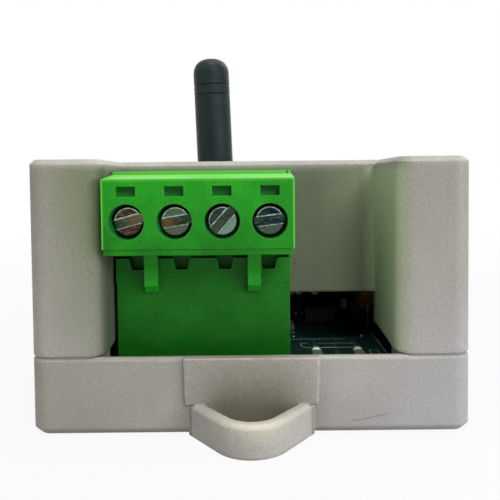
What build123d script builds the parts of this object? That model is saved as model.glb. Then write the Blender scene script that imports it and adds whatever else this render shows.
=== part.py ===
from build123d import *
import os
from math import cos, pi, sin

# Frame: X to the right, Y from the terminal end to the antenna end, Z up.
# The origin is the centre of the case's underside. All values are millimetres.

# Sides of the bars that stand for round ones
hidden_sides = 8
turned_sides = 24

# Case
case_width = 48.0
case_length = 65.0
case_height = 29.9
base_height = 8.4
wall = 1.6
rim_wall = 0.8
rim_depth = 1.4
cover_wall = 2.0
floor_thickness = 1.6
corner_radius = 2.0
room_corner = 0.6
underside_bevel = 0.7
roof_bevel = 0.5
joint_bevel = 0.25
recess_mouth_half = 15.75
recess_back_half = 16.35
recess_depth = 14.1
recess_wall = 1.4
recess_mouth_radius = 2.0
back_skirt_bottom = 7.3
back_wall_bottom = 12.75
lip_gap = 0.1
lip_thickness = 1.1

# Centre panel and lug at each end of the base
panel_proud = 0.4
panel_rim_width = 14.6
panel_foot_width = 14.3
panel_inset_half = 5.6
lug_reach = 6.2
lug_half_root = 6.8
lug_tip_radius = 4.2
lug_web = 1.15
lug_height = 3.4
lug_edge_bevel = 0.35

# Case screws, up through the base and the board into the cover
screw_x = 19.2
screw_y = 28.3
case_screw_radius = 1.4
case_screw_head_radius = 2.4
case_screw_head_height = 1.6
case_screw_tip = 16.0
counterbore_depth = 2.0
boss_side = 5.0
post_side = 6.8
screw_gap = 0.2
ledge_width = 2.4
ledge_half_length = 8.0

# Circuit board
board_width = 43.0
board_length = 61.0
board_thickness = 1.6
board_bottom = 4.85
board_top = board_bottom + board_thickness

# Radio daughterboard and its shield
radio_x = -8.5
radio_y = 4.6
radio_width = 16.0
radio_length = 20.0
radio_thickness = 0.8
shield_y = 3.2
shield_width = 13.0
shield_length = 12.5
shield_height = 2.4
shield_sheet = 0.2

# End caps of the chip components
end_cap_length = 0.4
end_cap_sheet = 0.03

# Four-way terminal block
pitch = 5.08
pole_count = 4
block_x = -5.46
pole_x = [block_x + (i - (pole_count - 1) / 2) * pitch for i in range(pole_count)]
fit_gap = 0.05

# Header half, soldered to the board
header_width = 20.12
header_front = -26.85
header_back = -18.8
header_top = 18.45
header_wall = 1.0
header_floor = 3.0
rim_band = 0.1
rim_band_height = 2.95
notch_top_width = 1.95
notch_bottom_width = 1.4
notch_depth = 1.3
pin_y = -23.0
pin_side = 1.0
pin_tip = 16.25
pin_tail = 2.85
spare_pad_y = -24.4
spare_pad_shift = 0.8
pin_gap = 0.02
pin_hole_radius = 0.8

# Plug half, pulled off upwards
plug_width = 20.45
plug_front = -33.3
plug_back = -18.8
plug_block_bottom = 19.6
plug_block_top = 27.7
plug_slope_back = -27.8
plug_slope_top = 28.2
groove_floor = 27.85
groove_slant = 0.05
plug_rib_front = -27.4
plug_top = 28.57
plug_waist = 18.75
plug_lip_height = 0.65
plug_lip_inset = 0.16
side_key_width = 0.18
side_key_inset = 0.36
side_key_depth = 0.7
insert_half_width = 9.0
insert_front = -25.5
insert_back = -20.1
insert_bottom = 10.15
screw_hole_z = 23.15
screw_hole_radius = 1.9
screw_shoulder_y = -30.7
window_width = 2.05
window_height = 1.06
window_z = 26.39
window_depth = 1.1
wire_mouth = 4.0
wire_throat_width = 2.9
wire_throat_length = 2.5
wire_funnel_depth = 2.0
arm_offset = 5.93
arm_width = 1.5
arm_thickness = 1.1
arm_gap = 0.1
arm_toe_height = 0.85
arm_toe_depth = 0.75
arm_bottom = 14.6

# Clamp in each pole: a captive screw draws a cage towards its head
clamp_travel = 2.4
clamp_head_radius = 1.7
clamp_head_front = -32.05
clamp_head_height = 1.3
clamp_shank_radius = 1.2
clamp_head_bevel = 0.2
clamp_slot_width = 0.95
clamp_slot_depth = 0.8
clamp_slot_turns = [15.0, 9.0, 48.0, 7.0]
cage_width = 4.1
cage_height = 4.0
cage_front = -27.7
cage_front_wall = 1.4
cage_rear_wall = 1.0
cage_length = 5.9
cage_side = 0.5
cage_corner_bevel = 0.35
bar_thickness = 0.8
bar_width = 2.6
bridge_thickness = 0.7
leaf_thickness = 0.5
leaf_bottom = 10.85
leaf_top = 19.05
entry_y = -24.1

# Coaxial jack and jointed antenna
aerial_x = -7.3
aerial_z = 12.45
jack_half_width = 4.0
jack_back = 19.5
jack_front = 27.0
jack_top = 16.25
barrel_radius = 3.1
barrel_bore = 2.3
barrel_end = 38.6
barrel_shoulder_end = 28.4
barrel_thread_radius = 3.0
jack_leg_side = 0.9
jack_leg_spread = 2.54
contact_radius = 0.65
contact_tail_radius = 0.5
nut_start = 33.7
nut_end = 40.7
nut_across_flats = 8.0
ferrule_radius = 2.0
ferrule_pin_radius = 0.38
ferrule_flange_radius = 2.9
ferrule_flange_start = 38.8
ferrule_end = 42.2
knuckle_start = 41.0
knuckle_web_end = 42.8
knuckle_radius = 3.9
hinge_y = 46.0
hinge_pin_radius = 0.8
tongue_radius = 3.0
tongue_half_thickness = 2.1
fork_gap = 0.15
aerial_lean = 2.0
whip_radius = 4.15
whip_bottom = 16.75
whip_tip = 55.5
whip_tip_radius = 3.2
whip_tip_steps = 7
whip_grooves = [6.2, 8.4]
whip_groove_depth = 0.18

# Derived places
roof_underside = case_height - cover_wall
recess_back = case_length / 2 - recess_depth
screw_places = [(sx * screw_x, sy * screw_y) for sx in (-1, 1) for sy in (-1, 1)]
case_end = case_length / 2


def block(x0, x1, y0, y1, z0, z1):
    """A box between two corners."""
    box = Box(x1 - x0, y1 - y0, z1 - z0, align=(Align.MIN, Align.MIN, Align.MIN))
    return Pos(x0, y0, z0) * box


def post(x, y, radius, z0, z1):
    """A round bar standing along Z."""
    bar = Cylinder(radius, z1 - z0, align=(Align.CENTER, Align.CENTER, Align.MIN))
    return Pos(x, y, z0) * bar


def shaft(x, z, radius, y0, y1):
    """A round bar lying along Y."""
    bar = Cylinder(radius, y1 - y0, align=(Align.CENTER, Align.CENTER, Align.MIN))
    return Pos(x, y0, z) * Rot(-90, 0, 0) * bar


def square_post(x, y, side, z0, z1):
    """A square bar standing along Z."""
    return block(x - side / 2, x + side / 2, y - side / 2, y + side / 2, z0, z1)


def small_post(x, y, radius, z0, z1, sides=hidden_sides):
    """A many-sided bar along Z, for hidden holes and pieces that need no true round."""
    return extrude(Pos(x, y, z0) * RegularPolygon(radius, sides), z1 - z0)


def small_shaft(x, z, radius, y0, y1):
    """The same bar, eight-sided, along Y."""
    return Pos(x, y0, z) * Rot(-90, 0, 0) * small_post(0, 0, radius, 0, y1 - y0)


def side_profile(points, x0, x1):
    """An outline of (Y, Z) points, extruded from x0 to x1."""
    face = Plane.YZ * Polygon(*points, align=None)
    return Pos(x0, 0, 0) * extrude(face, x1 - x0, dir=(1, 0, 0))


def end_profile(points, y0, y1):
    """An outline of (X, Z) points, extruded from y0 to y1."""
    face = Plane.XZ * Polygon(*points, align=None)
    return Pos(0, y0, 0) * extrude(face, y1 - y0, dir=(0, 1, 0))


def case_slab(z0, z1):
    """The case's outline, with its upright corners rounded."""
    return extrude(Pos(0, 0, z0) * RectangleRounded(case_width, case_length, corner_radius), z1 - z0)


def room(thickness, z0, z1):
    """The space inside case walls of this thickness."""
    width = case_width - 2 * thickness
    length = case_length - 2 * thickness
    return extrude(Pos(0, 0, z0) * RectangleRounded(width, length, room_corner), z1 - z0)


def save(name, *solids):
    """Writes one node, as one solid or as a group of separate ones."""
    shape = solids[0] if len(solids) == 1 else Compound(children=list(solids))
    export_step(shape, f"parts/{name}.step")


# Case base

def lug_outline(half_root, tip_radius, reach):
    """A D-shaped outline: straight sides tangent to a round tip."""
    tip = Pos(0, reach - tip_radius) * Circle(tip_radius)
    root = Pos(0, -0.5) * Rectangle(2 * half_root, 1.0)
    return make_hull((tip + root).edges())


def base_end():
    """The proud centre panel and the fixing lug at its foot, at the antenna end."""
    half_rim = panel_rim_width / 2
    half_foot = panel_foot_width / 2
    outline = [
        (-half_foot, lug_height), (half_foot, lug_height), (half_rim, base_height), (-half_rim, base_height),
    ]
    panel = end_profile(outline, case_end - wall / 2, case_end + panel_proud)
    panel += block(
        -panel_inset_half, panel_inset_half, case_end - wall / 2, case_end + panel_proud, 0, lug_height + 0.1
    )
    loop = extrude(lug_outline(lug_half_root, lug_tip_radius, lug_reach), lug_height)
    top_edges = loop.faces().sort_by(Axis.Z)[-1].edges()
    loop = chamfer(top_edges.filter_by_position(Axis.Y, 0.1, lug_reach + 1), lug_edge_bevel)
    inner = lug_outline(lug_half_root - 1.2 * lug_web, lug_tip_radius - lug_web, lug_reach - lug_web)
    opening = extrude(Pos(0, 0, -1) * inner, lug_height + 2)
    opening -= block(-case_width, case_width, -2, 0, -2, base_height)
    return panel + Pos(0, case_end, 0) * (loop - opening)


def base_part():
    """The tray: walls, screw posts, board ledges, end panels and lugs."""
    tray = case_slab(0, base_height)
    tray = chamfer(tray.faces().sort_by(Axis.Z)[0].edges(), underside_bevel)
    tray = chamfer(tray.faces().sort_by(Axis.Z)[-1].edges(), joint_bevel)
    tray -= room(wall, floor_thickness, base_height + 1)
    tray -= room(rim_wall, base_height - rim_depth, base_height + 1)
    tray += [square_post(x, y, post_side, floor_thickness / 2, board_bottom) for x, y in screw_places]
    ledge_outer = (case_width - wall) / 2
    for side in (-1, 1):
        low, high = sorted([side * ledge_outer, side * (ledge_outer - ledge_width)])
        tray += block(low, high, -ledge_half_length, ledge_half_length, floor_thickness / 2, board_bottom)
    end = base_end()
    tray += [end, mirror(end, Plane.XZ)]
    for x, y in screw_places:
        tray -= small_post(x, y, case_screw_radius + screw_gap, -1, board_bottom + 1)
        tray -= small_post(x, y, case_screw_head_radius + 2 * screw_gap, -1, counterbore_depth, turned_sides)
    return tray


# Case cover

def recess(grown):
    """The notches at both ends for the connectors, a little wider at the back."""
    back = recess_back - grown
    outline = Polygon(
        (-recess_mouth_half - grown, -case_end), (-recess_back_half - grown, -back),
        (recess_back_half + grown, -back), (recess_mouth_half + grown, -case_end), align=None,
    )
    notch = extrude(outline, 2 * case_height, dir=(0, 0, 1))
    return notch + mirror(notch, Plane.XZ)


def is_mouth_edge(edge):
    """True on the upright edges where a recess meets an end face."""
    centre = edge.center()
    at_side = abs(abs(centre.X) - recess_mouth_half) < 0.3
    at_end = abs(centre.Y) > case_end - 0.5
    return at_side and at_end and abs(centre.Z - (base_height + case_height) / 2) < 1


def cover_part():
    """The cover: roof, four corner pillars, recess walls and screw bosses.

    The recess wall at the antenna end reaches down to the board; the other leaves a slot.
    """
    solid = case_slab(base_height, case_height)
    solid -= recess(0)
    solid = fillet(solid.edges().filter_by(is_mouth_edge), recess_mouth_radius)
    solid = chamfer(solid.faces().sort_by(Axis.Z)[-1].edges(), roof_bevel)
    solid = chamfer(solid.faces().sort_by(Axis.Z)[0].edges(), joint_bevel)
    solid -= room(cover_wall, base_height - 1, roof_underside) - recess(recess_wall)
    solid += block(
        -recess_back_half, recess_back_half, recess_back - recess_wall, recess_back, back_skirt_bottom,
        base_height + 2 * joint_bevel,
    )
    for side in (-1, 1):
        lip_outer = case_width / 2 - rim_wall - lip_gap
        lip_edges = sorted([side * lip_outer, side * (lip_outer - lip_thickness)])
        solid += block(*lip_edges, -14, 14, base_height - rim_depth + 2 * lip_gap, base_height + 1.2)
    solid -= block(
        -recess_back_half, recess_back_half, -recess_back - 0.1, -recess_back + 2 * recess_wall,
        -1, back_wall_bottom,
    )
    for x, y in screw_places:
        solid += square_post(x, y, boss_side, board_top, roof_underside + 0.5)
        solid -= small_post(x, y, case_screw_radius + fit_gap, board_top - 1, case_screw_tip + 1)
    return solid


def case_screw(x, y):
    """A pan-head self-tapping screw with a cross recess."""
    head_top = counterbore_depth - case_screw_head_height
    head = small_post(x, y, case_screw_head_radius, head_top, counterbore_depth, turned_sides)
    shank = small_post(x, y, case_screw_radius, counterbore_depth / 2, case_screw_tip)
    cross = Box(2.8, 0.6, 1.6) + Box(0.6, 2.8, 1.6)
    return head + shank - Pos(x, y, head_top) * cross


# Circuit board and terminals

def board_part():
    """The bare board, drilled for its screws, terminals and jack."""
    board = Pos(0, 0, (board_bottom + board_top) / 2) * Box(board_width, board_length, board_thickness)
    for x, y in screw_places:
        board -= small_post(x, y, case_screw_radius + screw_gap, board_bottom - 1, board_top + 1)
    small_holes = [(x, pin_y) for x in pole_x] + jack_leg_places() + [(aerial_x, jack_centre_y())]
    for x, y in small_holes:
        board -= small_post(x, y, pin_hole_radius, board_bottom - 1, board_top + 1)
    return board


def header_part():
    """The open-topped header with a rim band and four keying notches."""
    left = block_x - header_width / 2
    right = block_x + header_width / 2
    shell = block(left, right, header_front, header_back, board_top, header_top)
    band_bottom = header_top - rim_band_height
    shell += block(
        left - rim_band, right + rim_band, header_front - rim_band, header_back, band_bottom, header_top
    )
    shell -= block(
        left + header_wall, right - header_wall, header_front + header_wall, header_back - header_wall,
        board_top + header_floor, header_top + 1,
    )
    for x in pole_x:
        shell -= header_notch(x)
        shell -= square_post(x, pin_y, pin_side + 2 * pin_gap, board_top - 1, header_top)
    return shell


def header_notch(x):
    """A keying notch, narrower at its foot, through the front rim."""
    half_top = notch_top_width / 2
    half_foot = notch_bottom_width / 2
    foot = header_top - notch_depth
    outline = [
        (x - half_foot, foot), (x + half_foot, foot), (x + half_top, header_top), (x - half_top, header_top),
    ]
    return end_profile(outline, header_front - 1, header_front + header_wall + 0.5)


def header_pin(x):
    """A square pin with a pointed tip and a soldered tail."""
    pin = square_post(x, pin_y, pin_side, pin_tail, pin_tip)
    pin = chamfer(pin.faces().sort_by(Axis.Z)[-1].edges(), 0.3)
    return chamfer(pin.faces().sort_by(Axis.Z)[0].edges(), 0.2)


# Terminal plug

def plug_arm(x):
    """A latch arm that hangs from the screw block down the header's front."""
    back = header_front - rim_band - arm_gap
    front = back - arm_thickness
    top = plug_block_bottom + plug_lip_height
    toe = arm_bottom + arm_toe_height
    outline = [
        (front, top), (front, toe), (front + arm_toe_depth, arm_bottom), (back, arm_bottom), (back, top),
    ]
    return side_profile(outline, x - arm_width / 2, x + arm_width / 2)


def plug_body():
    """The moulding before its holes: screw block, rear rib, insert and arms."""
    left = block_x - plug_width / 2
    right = block_x + plug_width / 2
    lip_top = plug_block_bottom + plug_lip_height
    step = header_front - rim_band
    outline = [
        (plug_front, lip_top), (plug_front, plug_block_top), (plug_slope_back, plug_slope_top),
        (plug_slope_back + groove_slant, groove_floor), (plug_rib_front - groove_slant, groove_floor),
        (plug_rib_front, plug_top),
        (plug_back, plug_top), (plug_back, plug_waist), (step, plug_waist), (step, lip_top),
    ]
    body = side_profile(outline, left, right)
    body += block(
        left + plug_lip_inset, right - plug_lip_inset, plug_front + plug_lip_inset, header_front,
        plug_block_bottom, lip_top + 0.1,
    )
    body += block(
        block_x - insert_half_width, block_x + insert_half_width, insert_front, insert_back,
        insert_bottom, plug_waist + 0.5,
    )
    for side in (-1, 1):
        body += plug_arm(block_x + side * arm_offset)
    key_right = right - side_key_inset
    key = block(
        key_right - side_key_width, key_right, plug_slope_back, plug_back + 1,
        plug_top - side_key_depth, plug_top + 1,
    )
    return body - key


def pole_hollow(x):
    """Everything cut out of the plug for one pole."""
    cage_back = cage_front + cage_length
    chamber = block(
        x - cage_width / 2 - 0.1, x + cage_width / 2 + 0.1, cage_front - clamp_travel - 0.1, cage_back + 0.1,
        screw_hole_z - cage_height / 2 - 0.15, screw_hole_z + cage_height / 2 + 0.15,
    )
    left = x - bar_width / 2 - 0.15
    right = x + bar_width / 2 + 0.15
    back = leaf_back() + 0.1
    bridge = block(left, right, bar_front() - 0.1, back, leaf_top - 0.2, screw_hole_z)
    socket = block(left, right, leaf_front() - 0.1, back, insert_bottom - 1, leaf_top)
    bore = shaft(x, screw_hole_z, screw_hole_radius, plug_front - 1, screw_shoulder_y)
    neck_radius = (clamp_shank_radius + 2 * fit_gap) / cos(pi / 8)
    neck = small_shaft(x, screw_hole_z, neck_radius, screw_shoulder_y - 1, cage_front)
    window = block(
        x - window_width / 2, x + window_width / 2, plug_front - 1, plug_front + window_depth,
        window_z - window_height / 2, window_z + window_height / 2,
    )
    return [chamber, bridge, socket, bore, neck, window, wire_entry(x)]


def wire_entry(x):
    """A funnel from the top face down into the cage."""
    throat = block(
        x - wire_throat_width / 2, x + wire_throat_width / 2, entry_y - wire_throat_length / 2,
        entry_y + wire_throat_length / 2, screw_hole_z, plug_top,
    )
    mouth = Pos(x, entry_y, plug_top) * Rectangle(wire_mouth, wire_mouth)
    foot = Pos(x, entry_y, plug_top - wire_funnel_depth) * Rectangle(wire_throat_width, wire_throat_length)
    return throat + loft([foot.face(), mouth.face()], ruled=True)


def plug_part():
    """The finished plug moulding."""
    body = plug_body()
    for x in pole_x:
        body -= pole_hollow(x)
    return body


def bar_front():
    """The clamp bar lies just behind the tip of the closed screw."""
    return cage_front + cage_front_wall + 0.1


def leaf_front():
    return pin_y - pin_side / 2 - fit_gap - leaf_thickness


def leaf_back():
    return pin_y + pin_side / 2 + fit_gap + leaf_thickness


def plug_contact(x):
    """One contact: the clamp bar, and two leaves that grip the header's pin."""
    half = bar_width / 2
    top = screw_hole_z + cage_height / 2
    contact = block(x - half, x + half, bar_front(), bar_front() + bar_thickness, leaf_top, top)
    contact += block(x - half, x + half, bar_front(), leaf_back(), leaf_top, leaf_top + bridge_thickness)
    for front in (leaf_front(), leaf_back() - leaf_thickness):
        contact += block(x - half, x + half, front, front + leaf_thickness, leaf_bottom, leaf_top)
    return contact


def clamp_screw(x, turn):
    """A slotted clamp screw, its slot turned as the real one stands."""
    head_back = clamp_head_front + clamp_head_height
    head = shaft(x, screw_hole_z, clamp_head_radius, clamp_head_front, head_back)
    head = chamfer(head.edges().sort_by(Axis.Y)[0], clamp_head_bevel)
    shank = small_shaft(x, screw_hole_z, clamp_shank_radius, head_back - 0.2, bar_front() - fit_gap)
    slot = Box(3 * clamp_head_radius, 2 * clamp_slot_depth, clamp_slot_width)
    return head + shank - Pos(x, clamp_head_front, screw_hole_z) * Rot(0, -turn, 0) * slot


def clamp_cage(x):
    """A square cage, open along Z for the wire, tapped in its front wall."""
    half = cage_width / 2
    low = screw_hole_z - cage_height / 2
    high = screw_hole_z + cage_height / 2
    back = cage_front + cage_length
    cage = block(x - half, x + half, cage_front, back, low, high)
    cage = chamfer(cage.edges().filter_by(Axis.Z), cage_corner_bevel)
    cage -= block(
        x - half + cage_side, x + half - cage_side, cage_front + cage_front_wall, back - cage_rear_wall,
        low - 1, high + 1,
    )
    hole_radius = (clamp_shank_radius + fit_gap) / cos(pi / 8)
    return cage - small_shaft(x, screw_hole_z, hole_radius, cage_front - 1, cage_front + 2)


# Coaxial jack and antenna

def jack_centre_y():
    return (jack_back + jack_front) / 2


def jack_leg_places():
    spread = jack_leg_spread
    return [(aerial_x + sx * spread, jack_centre_y() + sy * spread) for sx in (-1, 1) for sy in (-1, 1)]


def jack_part():
    """A right-angle jack: square block, barrel with its thread ground, and four legs."""
    body = block(
        aerial_x - jack_half_width, aerial_x + jack_half_width, jack_back, jack_front, board_top, jack_top
    )
    body = chamfer(body.edges().filter_by(Axis.Y).group_by(Axis.Z)[-1], 0.5)
    body += shaft(aerial_x, aerial_z, barrel_radius, jack_front - 1, barrel_shoulder_end)
    body += shaft(aerial_x, aerial_z, barrel_thread_radius, jack_front - 1, barrel_end)
    body -= shaft(aerial_x, aerial_z, barrel_bore, jack_front - 2, barrel_end + 1)
    for x, y in jack_leg_places():
        body += square_post(x, y, jack_leg_side, pin_tail, board_top + 0.5)
    clear = contact_radius + screw_gap
    body -= small_shaft(aerial_x, aerial_z, clear, jack_centre_y() - clear, jack_front)
    return body - small_post(aerial_x, jack_centre_y(), clear, board_top - 1, aerial_z)


def jack_insulator():
    """The white insulator that holds the centre contact."""
    tube = shaft(aerial_x, aerial_z, barrel_bore - 0.02, jack_front - 2, barrel_end - 1.9)
    hole_radius = (contact_radius + fit_gap) / cos(pi / 8)
    return tube - small_shaft(aerial_x, aerial_z, hole_radius, jack_front - 3, barrel_end)


def jack_contact():
    """The centre contact, bent down to the board."""
    socket = shaft(aerial_x, aerial_z, contact_radius, jack_centre_y() - 0.6, barrel_end - 2.2)
    hole_radius = (ferrule_pin_radius + fit_gap) / cos(pi / 8)
    socket -= small_shaft(aerial_x, aerial_z, hole_radius, barrel_end - 5.5, barrel_end)
    return socket + small_post(aerial_x, jack_centre_y(), contact_tail_radius, pin_tail, aerial_z)


def antenna_nut():
    """The hexagonal coupling nut, which turns on the ferrule."""
    hexagon = RegularPolygon(nut_across_flats / 2, 6, major_radius=False)
    blank = extrude(Plane.XZ * hexagon, nut_end - nut_start)
    cone = shaft(0, 0, nut_across_flats / 2 / cos(pi / 6) - 0.05, -nut_end, nut_end)
    nut = Pos(aerial_x, nut_end, aerial_z) * (blank & chamfer(cone.edges(), 0.3))
    nut -= shaft(aerial_x, aerial_z, barrel_radius + fit_gap, nut_start - 1, nut_end - 1.0)
    nut -= shaft(aerial_x, aerial_z, ferrule_radius + fit_gap, nut_start, nut_end + 1)
    return nut


def antenna_ferrule():
    """The flanged inner sleeve with the centre pin, held in the nut."""
    sleeve = shaft(aerial_x, aerial_z, ferrule_radius, ferrule_flange_start, ferrule_end)
    flange = shaft(aerial_x, aerial_z, ferrule_flange_radius, ferrule_flange_start, nut_end - 1.0 - fit_gap)
    pin = small_shaft(aerial_x, aerial_z, ferrule_pin_radius, barrel_end - 4.5, ferrule_flange_start + 0.5)
    return sleeve + flange + pin


def antenna_knuckle():
    """The forked knuckle, which swivels on the ferrule."""
    disc = shaft(0, 0, knuckle_radius, knuckle_start, knuckle_web_end)
    disc = chamfer(disc.edges().sort_by(Axis.Y)[0], 0.4)
    ears = side_round_bar(knuckle_radius - 0.2, knuckle_radius)
    ears += block(-knuckle_radius, knuckle_radius, knuckle_web_end - 0.1, hinge_y, -3.2, 3.2)
    ears &= shaft(0, 0, knuckle_radius, knuckle_start, hinge_y + 9)
    slot = tongue_half_thickness + fork_gap
    ears -= block(-slot, slot, knuckle_web_end, hinge_y + 9, -9, 9)
    fork = disc + ears
    fork -= Pos(0, hinge_y, 0) * Rot(0, 90, 0) * Cylinder(hinge_pin_radius + 0.01, 20)
    return fork - shaft(0, 0, ferrule_radius + fit_gap, knuckle_start - 1, ferrule_end + 0.1)


def side_round_bar(radius, half_length):
    """A round bar along X on the hinge axis."""
    return Pos(0, hinge_y, 0) * Rot(0, 90, 0) * Cylinder(radius, 2 * half_length)


def whip_rod():
    """The rod, turned from one outline: bevelled foot, two V-grooves and a dome."""
    bottom = whip_bottom - aerial_z
    tip = whip_tip - aerial_z
    dome_foot = tip - whip_tip_radius
    corner = whip_radius - whip_tip_radius
    points = [(0, bottom), (whip_radius - 0.5, bottom), (whip_radius, bottom + 0.5)]
    for drop in sorted(whip_grooves, reverse=True):
        middle = tip - drop
        points += [
            (whip_radius, middle - whip_groove_depth), (whip_radius - whip_groove_depth, middle),
            (whip_radius, middle + whip_groove_depth),
        ]
    for step in range(whip_tip_steps + 1):
        angle = step / whip_tip_steps * pi / 2
        points.append((corner + whip_tip_radius * cos(angle), dome_foot + whip_tip_radius * sin(angle)))
    points.append((0, tip))
    return revolve(Plane.XZ * Polygon(*points, align=None), Axis.Z)


def antenna_whip():
    """The rubber whip: a hinge tongue and a rod with a domed tip."""
    tongue = side_round_bar(tongue_radius, tongue_half_thickness)
    tongue += block(
        -tongue_half_thickness, tongue_half_thickness, hinge_y - tongue_radius, hinge_y + tongue_radius,
        0, whip_bottom - aerial_z + 1,
    )
    whip = tongue + Pos(0, hinge_y, 0) * whip_rod()
    return whip - side_round_bar(hinge_pin_radius + fit_gap, 2 * whip_radius)


def leaned(shape):
    """Turns a knuckle piece about the jack's axis, to the angle it stands at."""
    return Pos(aerial_x, 0, aerial_z) * Rot(0, -aerial_lean, 0) * shape


# Parts on the board

def chip(x, y, width, length, height, leads_per_side, lead_pitch):
    """A moulded chip with gull-wing leads on its two long sides."""
    top = board_top + 0.15 + height
    body = block(x - width / 2, x + width / 2, y - length / 2, y + length / 2, board_top + 0.15, top)
    body = chamfer(body.faces().sort_by(Axis.Z)[-1].edges(), 0.15)
    leads = []
    for side in (-1, 1):
        for i in range(leads_per_side):
            lead_y = y + (i - (leads_per_side - 1) / 2) * lead_pitch
            low, high = sorted([x + side * (width / 2 - 0.1), x + side * (width / 2 + 1.0)])
            leads.append(block(low, high, lead_y - 0.2, lead_y + 0.2, board_top, board_top + 0.35))
    return body + leads


def quad_chip(x, y, side, height, leads_per_side, lead_pitch):
    """A square chip with leads on all four sides."""
    two_sides = chip(0, 0, side, side, height, leads_per_side, lead_pitch)
    return Pos(x, y, 0) * (two_sides + Rot(0, 0, 90) * two_sides)


def radio_board():
    """The radio daughterboard."""
    low = board_top
    return Pos(radio_x, radio_y, low + radio_thickness / 2) * Box(radio_width, radio_length, radio_thickness)


def shield_can():
    """The folded can over the radio chip, open underneath."""
    low = board_top + radio_thickness
    can = Pos(radio_x, shield_y, low + shield_height / 2) * Box(shield_width, shield_length, shield_height)
    can = chamfer(can.faces().sort_by(Axis.Z)[-1].edges(), shield_sheet)
    inside = Box(shield_width - 2 * shield_sheet, shield_length - 2 * shield_sheet, shield_height)
    return can - Pos(radio_x, shield_y, low + shield_height / 2 - shield_sheet) * inside


def capacitor_can(x, y, radius, height):
    """A surface-mount electrolytic capacitor on its square foot."""
    half = radius + 0.2
    foot = block(x - half, x + half, y - half, y + half, board_top, board_top + 1.0)
    foot = chamfer(foot.edges().filter_by(Axis.Z).group_by(Axis.Y)[-1], 1.2)
    can = small_post(x, y, radius, board_top + 0.9, board_top + height, turned_sides)
    return foot + chamfer(can.faces().sort_by(Axis.Z)[-1].edges(), 0.4)


def inductor(x, y):
    """A shielded power inductor."""
    body = Pos(x, y, board_top + 2.0) * Box(7.3, 7.3, 4.0)
    body = chamfer(body.edges().filter_by(Axis.Z), 1.5)
    return body - post(x, y, 2.6, board_top + 3.6, board_top + 5)


def regulator(x, y):
    """A voltage regulator with a soldered tab and three legs."""
    body = block(x - 3.2, x + 3.2, y - 3.0, y + 3.0, board_top + 0.1, board_top + 2.3)
    body = chamfer(body.faces().sort_by(Axis.Z)[-1].edges(), 0.25)
    body += block(x - 2.7, x + 2.7, y + 2.5, y + 4.2, board_top, board_top + 0.6)
    for offset in (-2.28, 0, 2.28):
        body += block(x + offset - 0.35, x + offset + 0.35, y - 5.2, y - 2.8, board_top, board_top + 0.6)
    return body


def crystal_can(x, y):
    """A low-profile crystal can on two legs."""
    can = extrude(Pos(x, y, board_top + 0.2) * SlotOverall(5.0, 2.8), 1.3)
    flange = extrude(Pos(x, y, board_top) * SlotOverall(5.6, 3.4), 0.3)
    return flange + can


def resettable_fuse(x, y):
    """A disc fuse standing on two wire legs."""
    radius = 3.4
    thickness = 2.4
    centre_z = board_top + 2.0 + radius
    bar = small_post(0, 0, radius, -thickness / 2, thickness / 2, turned_sides)
    disc = Pos(x, y, centre_z) * Rot(0, 90, 0) * bar
    disc = chamfer(disc.faces().filter_by(Axis.X).edges(), 0.6)
    for side in (-1, 1):
        disc += small_post(x, y + side * 2.0, 0.3, board_top, centre_z - 1.6)
    return disc


def chip_part(x, y, length, width, height):
    """A two-ended chip component with raised end caps."""
    body = Pos(x, y, board_top + height / 2) * Box(length - end_cap_length, width, height)
    cap = Box(end_cap_length, width + 2 * end_cap_sheet, height + end_cap_sheet)
    for side in (-1, 1):
        cap_x = x + side * (length - end_cap_length) / 2
        body += Pos(cap_x, y, board_top + (height + end_cap_sheet) / 2) * cap
    return body


def solder_pad(x):
    """A spare terminal place: a long pad with a bead of solder."""
    pad = Pos(x, spare_pad_y, board_top + 0.06) * Box(1.25, 4.0, 0.12)
    bead = Pos(x, pin_y, board_top + 0.2) * Box(1.0, 1.0, 0.3)
    return pad + chamfer(bead.faces().sort_by(Axis.Z)[-1].edges(), 0.2)


def save_case():
    save("case_base", base_part())
    save("case_cover", cover_part())
    save("case_screws", *[case_screw(x, y) for x, y in screw_places])


def save_terminals():
    save("terminal_header", header_part())
    save("header_pins", *[header_pin(x) for x in pole_x])
    save("spare_terminal_pads", *[solder_pad(pole_x[-1] + pitch * i + spare_pad_shift) for i in (1, 2)])
    save("terminal_plug", plug_part())
    save("plug_contacts", *[plug_contact(x) for x in pole_x])
    for number, x in enumerate(pole_x, start=1):
        save(f"clamp_screw_{number}", clamp_screw(x, clamp_slot_turns[number - 1]))
        save(f"clamp_cage_{number}", clamp_cage(x))


def save_antenna():
    save("antenna_jack", jack_part())
    save("jack_insulator", jack_insulator())
    save("jack_centre_contact", jack_contact())
    save("antenna_nut", antenna_nut())
    save("antenna_ferrule", antenna_ferrule())
    save("antenna_knuckle", leaned(antenna_knuckle()))
    save("antenna_hinge_pin", leaned(side_round_bar(hinge_pin_radius, knuckle_radius - 0.35)))
    save("antenna_whip", leaned(antenna_whip()))


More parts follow.
